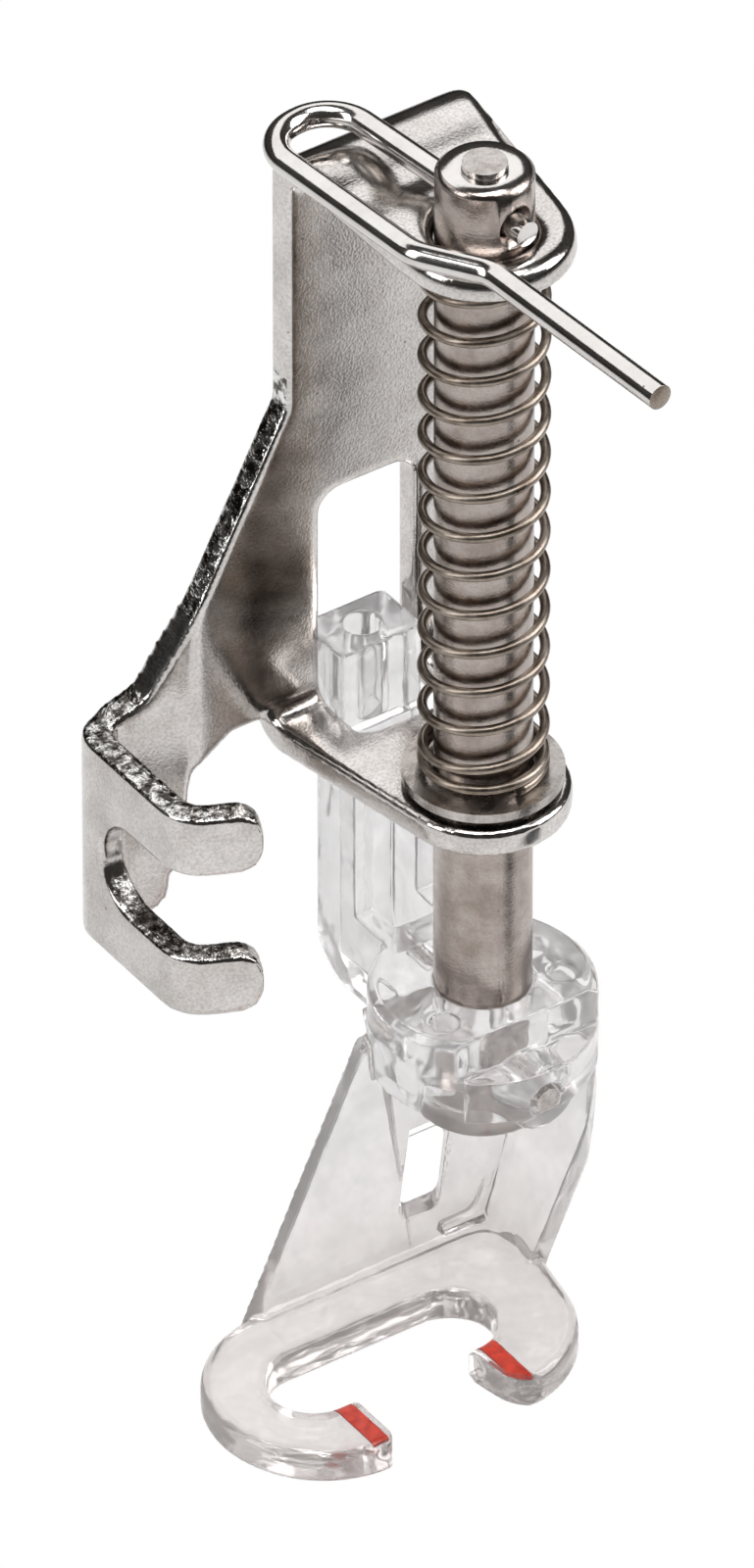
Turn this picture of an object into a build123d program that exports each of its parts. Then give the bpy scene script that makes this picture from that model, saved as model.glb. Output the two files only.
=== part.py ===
from build123d import *
import math
import os

# Spring-loaded open-toe presser foot for free-motion quilting, low-shank pattern. Millimetres.
# The origin is on the presser bar's axis, at the height of the clamp screw.
# +X is to the operator's right, +Y is away from the operator and +Z is up.

# Presser bar that the bracket is clamped to
bar_diameter = 6.35
bar_play = 0.1
plate_standoff = 0.15

# Bent sheet bracket
sheet = 1.5
bend_inside = 1.0
upper_lug_top = 37.4
lower_lug_top = 4.1
upper_lug_radius = 4.4
lower_lug_radius = 4.3
plate_left = 4.6
lower_root_left = 5.9
plate_right = 5.9
slant_top = 22.3
slant_middle = 12.0
slant_bottom = 7.2
slant_foot_left = 1.5
slant_round = 2.0
window_width = 5.5
window_top = 16.2
window_corner = 1.1
window_reach = 3.6

# Clamp channel and its two fingers
wall_splay = 25.0
fork_height = 12.0
crease_right = 0.7
screw_slot = 5.0
slot_end_back = 3.6
fork_back_bend = 0.4
finger_reach = 3.4
finger_corner = 1.3
tail_right = 0.6
tail_taper = 1.3
tail_corner = 1.8
tail_root = 2.2

# Plunger that slides in the two lugs
plunger_x = 10.65
plunger_y = -6.45
shaft_diameter = 4.8
slide_play = 0.05
pin_play = 0.02
head_height = 3.4
head_chamfer = 0.3
shaft_in_hub = 6.4
arm_wire = 1.3
arm_lift = 0.5
arm_skew = 7.0
arm_hole_flare = 0.55
locking_pin_diameter = 2.2
locking_pin_proud = 0.35
cross_pin_diameter = 1.3

# Lifting arm, measured from the plunger's axis
arm_front_stub = 3.05
arm_loop_back = 10.9
arm_leg_spacing = 4.75
arm_loop_radius = 2.3
arm_elbow_left = 4.9
arm_elbow_front = 1.3
arm_knee_left = 2.75
arm_knee_front = 4.5
arm_tip_left = 1.75
arm_tip_front = 17.0
arm_bend = 2.2

# Spring and the ring and washer that it stands on
spring_diameter = 6.4
spring_wire = 0.45
spring_turns = 14.5
spring_facets = 6
spring_seat_gap = 0.03
ring_thickness = 0.35
ring_diameter = 6.2
ring_groove = 0.4
ring_mouth = 60.0
ring_gap = 0.05
washer_thickness = 0.5
washer_diameter = 7.9

# Clear moulded foot
sole_drop = 24.4
hub_top_above_sole = 16.4
hub_radius = 5.6
hub_disc = 4.65
hub_break = 0.4
ledge_below_top = 2.2
ledge_front = 3.75
socket_radius = 3.4
socket_floor = 0.8
cross_pin_below_top = 3.9
pin_boss = 1.9
pin_boss_front = 5.25
pin_bore_root = 1.35
pin_bore_tip = 0.9
witness_diameter = 1.7
witness_depth = 0.15
witness_spacing = 6.9
witness_front = 1.8

# Guide arm that rides in the bracket's window
guide_play = 0.35
guide_top_above_sole = 31.5
guide_head_height = 6.0
guide_head_front = 1.3
guide_head_proud = 0.7
guide_arm_front = 2.4
guide_arm_back = 0.9
guide_wall = 1.2
guide_neck = 4.9
guide_heel = 2.6
guide_hole = 1.8
guide_hole_depth = 5.0
guide_hole_back = 0.5
guide_break = 0.4

# Riser between the hub and the toe ring
riser_wall = 0.9
riser_front = 1.0
riser_rake = 11.3
riser_left_foot = 14.3
riser_left_top = 5.6
riser_top = 13.6
riser_right_foot = 0.45
riser_right_top = 5.2
riser_knee = 11.3
rib_wall = 1.2
rib_front = 4.6
rib_round = 5.5
riser_root = 1.0
gusset_left = 4.2
gusset_right = 3.4
gusset_rake = 18.4
slot_turn = 33.0
slot_left_low = -4.2
slot_left_high = -2.8
slot_low = 3.65
slot_top = 13.6
slot_wide = 2.0
slot_corner = 0.5
slot_sink = 1.6
slot_clear = 3.4

# Open toe ring, its opening centred where the needle comes down
toe_left = 10.1
toe_front = 6.1
toe_thickness = 2.0
toe_length = 19.6
toe_width = 11.9
toe_offset = 0.4
opening_length = 12.4
opening_width = 4.4
opening_back = 0.1
toe_gap = 6.2
gap_flare = 1.1
gap_corner = 2.2
toe_tip_corner = 0.9
toe_round = 0.6
toe_break = 0.4
heel_corner = 2.4
heel_right = 0.8
mark_spacing = 8.4
mark_shift = 0.25
mark_width = 0.9
mark_length = 3.5
mark_depth = 0.3

# Values worked out from the sizes above
channel_radius = bar_diameter / 2 + bar_play
plate_front = bar_diameter / 2 + plate_standoff
plate_back = plate_front + sheet
half_sheet = sheet / 2
plate_middle = plate_front + half_sheet
bend_middle = bend_inside + half_sheet
splay = math.radians(wall_splay)
fork_top = fork_height / 2
lug_right = plunger_x + plate_right
upper_lug_under = upper_lug_top - sheet
lower_lug_under = lower_lug_top - sheet
mid_height = (upper_lug_top + lower_lug_top) / 2
head_top = upper_lug_top + head_height
arm_height = upper_lug_top + arm_lift + arm_wire / 2
ring_bottom = lower_lug_top + ring_gap
washer_bottom = ring_bottom + ring_thickness
washer_top = washer_bottom + washer_thickness
sole = -sole_drop
hub_top = sole + hub_top_above_sole
hub_under_above_sole = hub_top_above_sole - hub_disc
hub_under = sole + hub_under_above_sole
shaft_bottom = hub_top - shaft_in_hub
cross_pin_height = hub_top - cross_pin_below_top
toe_top = sole + toe_thickness
guide_top = sole + guide_top_above_sole
guide_width = window_width - 2 * guide_play
plunger_plane = Plane((plunger_x, plunger_y, 0))

# Bracket: upper lug bent forward from the back plate
with BuildPart() as upper_arm:
    with BuildSketch(Plane.YZ.offset(plunger_x - plate_left)):
        with BuildLine():
            FilletPolyline(
                (plunger_y - upper_lug_radius, upper_lug_top - half_sheet),
                (plate_middle, upper_lug_top - half_sheet),
                (plate_middle, mid_height),
                radius=bend_middle,
            )
        trace(line_width=sheet)
    extrude(amount=plate_left + plate_right)
    with BuildSketch(Plane.XY.offset(mid_height)):
        with Locations((plunger_x, plunger_y)):
            Circle(upper_lug_radius)
        with BuildLine():
            Polyline(
                (plunger_x - plate_left, plate_front),
                (plunger_x - plate_left, plate_back),
                (lug_right, plate_back),
                (lug_right, plate_front),
                close=True,
            )
        make_face()
        make_hull()
    extrude(amount=upper_lug_top - mid_height, mode=Mode.INTERSECT)

# Bracket: lower lug bent forward from the same plate
with BuildPart() as lower_arm:
    with BuildSketch(Plane.YZ.offset(plunger_x - lower_root_left)):
        with BuildLine():
            FilletPolyline(
                (plunger_y - lower_lug_radius, lower_lug_top - half_sheet),
                (plate_middle, lower_lug_top - half_sheet),
                (plate_middle, mid_height),
                radius=bend_middle,
            )
        trace(line_width=sheet)
    extrude(amount=lower_root_left + plate_right)
    with BuildSketch(Plane.XY.offset(lower_lug_under)):
        with Locations((plunger_x, plunger_y)):
            Circle(lower_lug_radius)
        with BuildLine():
            Polyline(
                (plunger_x - lower_root_left, plate_front - bend_inside),
                (plunger_x - lower_root_left, plate_back),
                (lug_right, plate_back),
                (lug_right, plate_front - bend_inside),
                close=True,
            )
        make_face()
        make_hull()
    extrude(amount=slant_bottom - lower_lug_under, mode=Mode.INTERSECT)

# Bracket: the plate and the splayed clamp channel, as one bent section cut to its outline
wall_middle = -channel_radius - half_sheet
wall_inside = wall_middle + half_sheet
crease_middle = crease_right + half_sheet * math.tan(splay / 2)
back_corner = plate_middle + (crease_middle - wall_middle) * math.tan(splay)
front_corner = wall_middle * (1 - math.sin(splay)) / math.cos(splay)
finger_tip = (wall_middle + finger_reach, front_corner - finger_reach * math.tan(splay))
with BuildPart() as plate_outline:
    with BuildSketch(Plane.XZ) as plate_view:
        with BuildLine():
            Polyline(
                (tail_right - tail_taper, -fork_top),
                (tail_right, lower_lug_under),
                (tail_right + tail_root, lower_lug_top),
                (lug_right, lower_lug_top),
                (lug_right, upper_lug_under),
                (plunger_x - plate_left, upper_lug_under),
                (plunger_x - plate_left, slant_top),
                (crease_right, slant_middle),
                (-slant_foot_left, slant_bottom),
                (wall_inside, fork_top),
                (2 * wall_middle, fork_top),
                (2 * wall_middle, -fork_top),
                close=True,
            )
        make_face()
        fillet(plate_view.vertices().sort_by_distance((tail_right - tail_taper, -fork_top))[0], tail_corner)
        fillet(plate_view.vertices().sort_by_distance((tail_right, lower_lug_under))[0], bend_inside)
        fillet(plate_view.vertices().sort_by_distance((-slant_foot_left, slant_bottom))[0], slant_round)
    extrude(amount=-2 * plate_back)
with BuildPart() as fork_outline:
    with Locations((crease_right, 0, 0)):
        Box(-2 * wall_middle, 2 * plate_back, fork_height, align=(Align.MAX, Align.MAX, Align.CENTER))
with BuildPart() as bracket:
    with BuildSketch(Plane.XY.offset(-fork_top)):
        with BuildLine():
            FilletPolyline(
                (lug_right, plate_middle),
                (crease_middle, plate_middle),
                (wall_middle, back_corner),
                (wall_middle, front_corner),
                finger_tip,
                radius=[sheet, half_sheet + fork_back_bend, bend_middle],
            )
        trace(line_width=sheet)
    extrude(amount=fork_top + upper_lug_under)
    add(plate_outline.part + fork_outline.part, mode=Mode.INTERSECT)
    add(upper_arm.part)
    add(lower_arm.part)
    # Screw slot round the wall and the fingers, with a round blind end
    with BuildSketch(Plane.YZ):
        with Locations((slot_end_back, 0)):
            SlotOverall(4 * plate_back, screw_slot, align=(Align.MAX, Align.CENTER))
    extrude(amount=2 * wall_middle, mode=Mode.SUBTRACT)
    # Guide window, cut through the plate and on into the lower lug
    with BuildSketch(Plane.XZ) as window:
        with Locations((plunger_x, window_top)):
            Rectangle(window_width, window_top - lower_lug_under, align=(Align.CENTER, Align.MAX))
        fillet(window.vertices().group_by(Axis.Y)[-1], window_corner)
    extrude(amount=-2 * plate_back, mode=Mode.SUBTRACT)
    with BuildSketch(Plane.XY) as lug_window:
        with Locations((plunger_x, plate_front - window_reach)):
            Rectangle(window_width, 2 * plate_back, align=(Align.CENTER, Align.MIN))
        fillet(lug_window.vertices().group_by(Axis.Y)[0], window_corner)
    extrude(amount=window_top / 2, mode=Mode.SUBTRACT)
    # Aligned slide bores
    with BuildSketch(plunger_plane):
        Circle(shaft_diameter / 2 + slide_play)
    extrude(amount=upper_lug_top, mode=Mode.SUBTRACT)
    finger_across = Axis((0, 0, 0), (math.sin(splay), math.cos(splay), 0))
    fillet(bracket.edges().filter_by(finger_across), finger_corner)
bracket.part.label = "bracket"

# Plunger shaft, with its cross holes, axial hole and ring groove
shaft_radius = shaft_diameter / 2
skew = math.radians(arm_skew)
arm_direction = (-math.sin(skew), math.cos(skew), 0)
arm_plane = Plane((plunger_x, plunger_y, arm_height), x_dir=(0, 0, 1), z_dir=arm_direction)
cross_pin_plane = Plane((plunger_x, plunger_y, cross_pin_height), x_dir=(1, 0, 0), z_dir=(0, -1, 0))
arm_hole_radius = arm_wire / 2 + pin_play
with BuildPart() as plunger_shaft:
    with BuildSketch(plunger_plane.offset(shaft_bottom)):
        Circle(shaft_radius)
    extrude(amount=head_top - shaft_bottom)
    chamfer(plunger_shaft.edges().group_by(Axis.Z)[-1], head_chamfer)
    chamfer(plunger_shaft.edges().group_by(Axis.Z)[0], head_chamfer)
    with BuildSketch(plunger_plane.offset(head_top)):
        Circle(locking_pin_diameter / 2 + pin_play)
    extrude(amount=arm_height - head_top, mode=Mode.SUBTRACT)
    with BuildSketch(arm_plane):
        Circle(arm_hole_radius)
    extrude(amount=shaft_diameter, both=True, mode=Mode.SUBTRACT)
    with Locations(arm_plane.offset(-shaft_radius)):
        Cone(arm_hole_radius + arm_hole_flare, arm_hole_radius, arm_hole_flare,
             align=(Align.CENTER, Align.CENTER, Align.MIN), mode=Mode.SUBTRACT)
    with BuildSketch(plunger_plane.offset(ring_bottom - pin_play)):
        Circle(shaft_diameter)
        Circle(shaft_radius - ring_groove, mode=Mode.SUBTRACT)
    extrude(amount=ring_thickness + 2 * pin_play, mode=Mode.SUBTRACT)
    with BuildSketch(cross_pin_plane):
        Circle(cross_pin_diameter / 2 + pin_play)
    extrude(amount=shaft_diameter, both=True, mode=Mode.SUBTRACT)
plunger_shaft.part.label = "plunger_shaft"

# Pin pressed down the shaft's end to hold the lifting arm
with BuildPart() as locking_pin:
    with BuildSketch(plunger_plane.offset(arm_height + arm_wire / 2 + pin_play)):
        Circle(locking_pin_diameter / 2)
    extrude(amount=head_top + locking_pin_proud - arm_height - arm_wire / 2 - pin_play)
locking_pin.part.label = "locking_pin"

# Lifting arm: one bent wire, from its stub in the shaft round a loop to the free tip
arm_loop_end = (-arm_loop_back * math.sin(skew), arm_loop_back * math.cos(skew))
arm_loop_side = (
    arm_loop_end[0] - arm_leg_spacing * math.cos(skew),
    arm_loop_end[1] - arm_leg_spacing * math.sin(skew),
)
with BuildPart() as lifting_arm:
    with BuildLine(plunger_plane.offset(arm_height)) as arm_route:
        FilletPolyline(
            (arm_front_stub * math.sin(skew), -arm_front_stub * math.cos(skew)),
            arm_loop_end,
            arm_loop_side,
            (-arm_elbow_left, -arm_elbow_front),
            (-arm_knee_left, -arm_knee_front),
            (-arm_tip_left, -arm_tip_front),
            radius=[arm_loop_radius, arm_loop_radius, arm_bend, arm_bend],
        )
    with BuildSketch(Plane(arm_route.line @ 0, z_dir=arm_route.line % 0)):
        Circle(arm_wire / 2)
    sweep()
lifting_arm.part.label = "lifting_arm"

# Compression spring, at its fitted length between the washer and the upper lug
spring_radius = (spring_diameter - spring_wire) / 2
spring_low = washer_top + spring_seat_gap + spring_wire / 2
spring_high = upper_lug_under - spring_seat_gap - spring_wire / 2
spring_rise = spring_high - spring_low
with BuildPart() as spring:
    with BuildLine(Plane((plunger_x, plunger_y, spring_low), x_dir=(0, -1, 0), z_dir=(0, 0, 1))) as coil:
        Helix(spring_rise / spring_turns, spring_rise, spring_radius)
    with BuildSketch(Plane(coil.line @ 0, z_dir=coil.line % 0)):
        RegularPolygon(spring_wire / 2, spring_facets)
    sweep()
spring.part.label = "spring"

# Retaining ring in the shaft's groove, open on one side
with BuildPart() as retaining_ring:
    with BuildSketch(plunger_plane.offset(ring_bottom)):
        Circle(ring_diameter / 2)
        Circle(shaft_radius - ring_groove + pin_play, mode=Mode.SUBTRACT)
        with BuildLine():
            Polyline(
                (0, 0),
                PolarLocations(ring_diameter, 1, start_angle=90 - ring_mouth / 2).locations[0].position,
                PolarLocations(ring_diameter, 1, start_angle=90 + ring_mouth / 2).locations[0].position,
                close=True,
            )
        make_face(mode=Mode.SUBTRACT)
    extrude(amount=ring_thickness)
retaining_ring.part.label = "retaining_ring"

# Flat washer that carries the spring
with BuildPart() as spring_washer:
    with BuildSketch(plunger_plane.offset(washer_bottom)):
        Circle(washer_diameter / 2)
        Circle(shaft_radius + slide_play, mode=Mode.SUBTRACT)
    extrude(amount=washer_thickness)
spring_washer.part.label = "spring_washer"

# Cross pin through the hub and the shaft
with BuildPart() as cross_pin:
    with BuildSketch(cross_pin_plane.offset(-hub_radius)):
        Circle(cross_pin_diameter / 2)
    extrude(amount=2 * hub_radius)
cross_pin.part.label = "cross_pin"

# Clear foot: the open toe ring
toe_x = plunger_x - toe_left
toe_y = plunger_y - toe_front
ring_x = toe_x + toe_offset
ring_y = toe_y - opening_back
gap_left = toe_x - toe_gap / 2
gap_right = toe_x + toe_gap / 2
gap_front = ring_y - toe_width / 2
with BuildPart() as toe_ring:
    with BuildSketch(Plane.XY.offset(sole)):
        with Locations((ring_x, ring_y)):
            SlotOverall(toe_length, toe_width)
        with Locations((plunger_x + heel_right - heel_corner, ring_y + toe_width / 2 - heel_corner)):
            Circle(heel_corner)
        make_hull()
        with Locations((toe_x, toe_y)):
            SlotOverall(opening_length, opening_width, mode=Mode.SUBTRACT)
    extrude(amount=toe_thickness)
    fillet(toe_ring.edges().filter_by(Plane.XY).group_by(Axis.Z)[-1], toe_round)
    chamfer(toe_ring.edges().filter_by(Plane.XY).group_by(Axis.Z)[0], toe_break)
    # Gap between the two toes, its front corners rounded off
    with BuildSketch(Plane.XY.offset(sole)) as gap_plan:
        with BuildLine():
            Polyline(
                (gap_left, toe_y),
                (gap_left, gap_front),
                (gap_left - gap_corner, gap_front),
                (gap_left - gap_corner, gap_front - gap_corner),
                (gap_right + gap_flare + 2 * gap_corner, gap_front - gap_corner),
                (gap_right + gap_flare + 2 * gap_corner, gap_front),
                (gap_right + gap_flare, gap_front),
                (gap_right, toe_y),
                close=True,
            )
        make_face()
        fillet(gap_plan.vertices().sort_by_distance((gap_left, gap_front))[0], toe_tip_corner)
        fillet(gap_plan.vertices().sort_by_distance((gap_right + gap_flare, gap_front))[0], gap_corner)
    extrude(amount=toe_thickness, mode=Mode.SUBTRACT)

# Clear foot: raked front wall of the riser, with the thicker gusset behind its middle
riser_side_plane = Plane((plunger_x, plunger_y, sole), x_dir=(0, 1, 0), z_dir=(1, 0, 0))
riser_front_plane = Plane((plunger_x, plunger_y, sole), x_dir=(1, 0, 0), z_dir=(0, -1, 0))
wall_low = toe_thickness / 2
rake = math.tan(math.radians(riser_rake))
wall_front_low = -riser_front + wall_low * rake
wall_front_high = -riser_front + riser_top * rake
wall_back_low = wall_front_low + riser_wall
gusset_back_high = wall_back_low + (riser_top - wall_low) * math.tan(math.radians(gusset_rake))
with BuildPart() as riser_faces:
    with BuildSketch(riser_front_plane):
        with BuildLine():
            Polyline(
                (-riser_left_foot, wall_low),
                (-riser_left_top, riser_top),
                (riser_right_top, riser_top),
                (riser_right_top, riser_knee),
                (riser_right_foot, wall_low),
                close=True,
            )
        make_face()
    extrude(amount=toe_width, both=True)
with BuildPart() as riser_walls:
    with BuildSketch(riser_side_plane.offset(-riser_left_foot)):
        with BuildLine():
            Polyline(
                (wall_front_low, wall_low),
                (wall_front_high, riser_top),
                (wall_front_high + riser_wall, riser_top),
                (wall_back_low, wall_low),
                close=True,
            )
        make_face()
    extrude(amount=riser_left_foot + riser_right_top)
    with BuildSketch(riser_side_plane.offset(-gusset_left)):
        with BuildLine():
            Polyline(
                (wall_front_low, wall_low),
                (wall_front_high, riser_top),
                (gusset_back_high, riser_top),
                (wall_back_low, wall_low),
                close=True,
            )
        make_face()
    extrude(amount=gusset_left + gusset_right)
    add(riser_faces.part, mode=Mode.INTERSECT)

# Clear foot: side rib that runs forward from the wall's right-hand edge
with BuildPart() as riser_rib:
    with BuildSketch(riser_front_plane.offset(-riser_front)):
        with BuildLine():
            Polyline(
                (riser_right_foot, wall_low),
                (riser_right_top, riser_knee),
                (riser_right_top, riser_top),
                (riser_right_top - rib_wall, riser_top),
                (riser_right_top - rib_wall, riser_knee),
                (riser_right_foot - rib_wall, wall_low),
                close=True,
            )
        make_face()
    extrude(amount=rib_front + riser_front)
    with BuildSketch(plunger_plane.offset(sole)):
        Circle(rib_round)
    extrude(amount=riser_top, mode=Mode.INTERSECT)

# Clear foot: guide arm behind the hub, which rides in the bracket's window
guide_half = guide_width / 2
guide_under = hub_top - guide_neck
guide_head_under = guide_top - guide_head_height
guide_front = plate_front - guide_arm_front
guide_back = plate_front + guide_arm_back
with BuildPart() as guide_arm:
    with BuildSketch(Plane.YZ.offset(plunger_x - guide_half)) as guide_profile:
        with BuildLine():
            Polyline(
                (plunger_y + shaft_radius, guide_under),
                (guide_back, guide_under),
                (guide_back, guide_head_under),
                (plate_back + guide_head_proud, guide_head_under),
                (plate_back + guide_head_proud, guide_top),
                (plate_front - guide_head_front, guide_top),
                (plate_front - guide_head_front, guide_head_under),
                (guide_front, guide_head_under),
                (guide_front, hub_top),
                (plunger_y + shaft_radius, hub_top),
                close=True,
            )
        make_face()
        fillet(guide_profile.vertices().sort_by_distance((guide_back, guide_under))[0], guide_heel)
    extrude(amount=guide_width)
    fillet(guide_arm.edges().filter_by(Axis.Z).group_by(Axis.Z)[-1], guide_break)
    with BuildSketch(Plane.XY.offset(guide_under + guide_wall)):
        with Locations((plunger_x, guide_back - guide_wall)):
            Rectangle(guide_width - 2 * guide_wall, guide_back - guide_wall - plunger_y - hub_radius,
                      align=(Align.CENTER, Align.MAX))
    extrude(amount=guide_head_under - guide_under - guide_wall, mode=Mode.SUBTRACT)
    with BuildSketch(Plane.XY.offset(guide_top)):
        with Locations((plunger_x, plate_front + guide_hole_back)):
            Circle(guide_hole / 2)
    extrude(amount=-guide_hole_depth, mode=Mode.SUBTRACT)

# Clear foot: rounded roots where the wall and the rib stand on the ring
root_reach = 2 * riser_root
root_high = toe_thickness + root_reach
wall_front_root = -riser_front + toe_thickness * rake
rib_slope = (riser_right_top - riser_right_foot) / (riser_knee - wall_low)
rib_inside_root = riser_right_foot - rib_wall + (toe_thickness - wall_low) * rib_slope
with BuildPart() as wall_root:
    with BuildSketch(riser_side_plane.offset(-riser_left_foot)) as wall_root_view:
        with BuildLine():
            Polyline(
                (wall_front_root - root_reach, wall_low),
                (wall_front_root - root_reach, toe_thickness),
                (wall_front_root, toe_thickness),
                (wall_front_root + root_reach * rake, root_high),
                (wall_front_root + root_reach * rake + riser_wall / 2, root_high),
                (wall_front_root, wall_low),
                close=True,
            )
        make_face()
        fillet(wall_root_view.vertices().sort_by_distance((wall_front_root, toe_thickness))[0], riser_root)
    extrude(amount=riser_left_foot + rib_inside_root)
    add(riser_faces.part, mode=Mode.INTERSECT)
with BuildPart() as rib_root:
    with BuildSketch(riser_front_plane.offset(-riser_front)) as rib_root_view:
        with BuildLine():
            Polyline(
                (rib_inside_root - root_reach, wall_low),
                (rib_inside_root - root_reach, toe_thickness),
                (rib_inside_root, toe_thickness),
                (rib_inside_root + root_reach * rib_slope, root_high),
                (rib_inside_root + root_reach * rib_slope + rib_wall / 2, root_high),
                (rib_inside_root, wall_low),
                close=True,
            )
        make_face()
        fillet(rib_root_view.vertices().sort_by_distance((rib_inside_root, toe_thickness))[0], riser_root)
    extrude(amount=rib_front + riser_front)

# Clear foot: cutter for the slot in the riser's wall, leaning with the wall and open into the hub's rim
slot_angle = math.radians(slot_turn)
slot_plane = Plane(
    (plunger_x, plunger_y, sole),
    x_dir=(math.cos(slot_angle), -math.sin(slot_angle), 0),
    z_dir=(-math.sin(slot_angle), -math.cos(slot_angle), 0),
)
with BuildPart() as riser_slot:
    with BuildSketch(slot_plane.offset(-hub_radius)) as slot_view:
        with BuildLine():
            Polyline(
                (slot_left_low, slot_low),
                (slot_left_high, slot_top),
                (slot_left_high + slot_wide, slot_top),
                (slot_left_low + slot_wide, slot_low),
                close=True,
            )
        make_face()
        fillet(slot_view.vertices(), slot_corner)
    extrude(amount=2 * hub_radius)
    with BuildSketch(riser_side_plane.offset(-riser_left_foot)):
        with BuildLine():
            Polyline(
                (-2 * hub_radius, 0),
                (slot_sink - riser_front, 0),
                (slot_sink - riser_front + hub_under_above_sole * rake, hub_under_above_sole),
                (-2 * hub_radius, hub_under_above_sole),
                close=True,
            )
        make_face()
    extrude(amount=2 * riser_left_foot, mode=Mode.INTERSECT)
with BuildPart() as rim_notch:
    with BuildSketch(slot_plane.offset(slot_clear)) as notch_view:
        with BuildLine():
            Polyline(
                (slot_left_low, slot_low),
                (slot_left_high, slot_top),
                (slot_left_high + slot_wide, slot_top),
                (slot_left_low + slot_wide, slot_low),
                close=True,
            )
        make_face()
    extrude(amount=hub_radius)

# Clear foot: hub, walls, ring and guide arm joined in one moulding
with BuildPart() as clear_foot:
    with BuildSketch(plunger_plane.offset(hub_under)):
        Circle(hub_radius)
    extrude(amount=hub_disc)
    chamfer(clear_foot.edges().group_by(Axis.Z)[-1], hub_break)
    with BuildSketch(plunger_plane.offset(hub_top)):
        with Locations((0, -ledge_front)):
            Rectangle(2 * hub_radius, hub_radius, align=(Align.CENTER, Align.MAX))
    extrude(amount=-ledge_below_top, mode=Mode.SUBTRACT)
    add(rim_notch.part, mode=Mode.SUBTRACT)
    add(riser_walls.part)
    add(riser_rib.part)
    add(toe_ring.part)
    add(wall_root.part)
    add(rib_root.part)
    add(guide_arm.part)
    add(riser_slot.part, mode=Mode.SUBTRACT)
    # Socket and pin boss below the hub
    with BuildSketch(plunger_plane.offset(shaft_bottom - socket_floor)):
        Circle(socket_radius)
    extrude(amount=hub_under - shaft_bottom + 2 * socket_floor)
    with BuildSketch(cross_pin_plane):
        Circle(pin_boss)
    extrude(amount=pin_boss_front)
    # Bores for the shaft and for the pin, the pin's front one tapered
    with BuildSketch(plunger_plane.offset(shaft_bottom)):
        Circle(shaft_radius + pin_play)
    extrude(amount=shaft_in_hub, mode=Mode.SUBTRACT)
    with BuildSketch(cross_pin_plane.offset(-hub_radius)):
        Circle(cross_pin_diameter / 2 + pin_play)
    extrude(amount=hub_radius + shaft_radius, mode=Mode.SUBTRACT)
    with Locations(cross_pin_plane.offset(shaft_radius)):
        Cone(pin_bore_root, pin_bore_tip, hub_radius - shaft_radius,
             align=(Align.CENTER, Align.CENTER, Align.MIN), mode=Mode.SUBTRACT)
    # Moulding witness marks on the hub's top
    with BuildSketch(plunger_plane.offset(hub_top)):
        with Locations((0, -witness_front)):
            with GridLocations(witness_spacing, 0, 2, 1):
                Circle(witness_diameter / 2)
    extrude(amount=-witness_depth, mode=Mode.SUBTRACT)

# Red marks let into the toes on either side of the needle
mark_y = toe_y - (opening_width + mark_length) / 2
mark_z = toe_top - mark_depth / 2
with BuildPart() as mark_left:
    with Locations((toe_x + mark_shift - mark_spacing / 2, mark_y, mark_z)):
        Box(mark_width, mark_length, mark_depth)
    add(toe_ring.part, mode=Mode.INTERSECT)
mark_left.part.label = "mark_left"
with BuildPart() as mark_right:
    with Locations((toe_x + mark_shift + mark_spacing / 2, mark_y, mark_z)):
        Box(mark_width, mark_length, mark_depth)
    add(toe_ring.part, mode=Mode.INTERSECT)
mark_right.part.label = "mark_right"
with clear_foot:
    add(mark_left.part, mode=Mode.SUBTRACT)
    add(mark_right.part, mode=Mode.SUBTRACT)
clear_foot.part.label = "clear_foot"

# One STEP file for each piece
os.makedirs("parts", exist_ok=True)
export_step(bracket.part, "parts/bracket.step")
export_step(plunger_shaft.part, "parts/plunger_shaft.step")
export_step(locking_pin.part, "parts/locking_pin.step")
export_step(lifting_arm.part, "parts/lifting_arm.step")
export_step(spring.part, "parts/spring.step")
export_step(retaining_ring.part, "parts/retaining_ring.step")
export_step(spring_washer.part, "parts/spring_washer.step")
export_step(cross_pin.part, "parts/cross_pin.step")
export_step(clear_foot.part, "parts/clear_foot.step")
export_step(mark_left.part, "parts/mark_left.step")
export_step(mark_right.part, "parts/mark_right.step")
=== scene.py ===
"""Studio picture of a spring-loaded open-toe presser foot.

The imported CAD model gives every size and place. This script adds the look: refined meshes for the
stamped bracket, the moulded foot, the wire arm, the shaft and the coil spring, a finish for each
piece, the lights and the camera. Values whose names end in _mm are in millimetres; Blender's own
lengths are in metres.
"""
import logging
import math
from abc import ABC, abstractmethod
from dataclasses import dataclass
from enum import Enum

import bmesh
import bpy
from mathutils import Matrix, Vector


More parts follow.
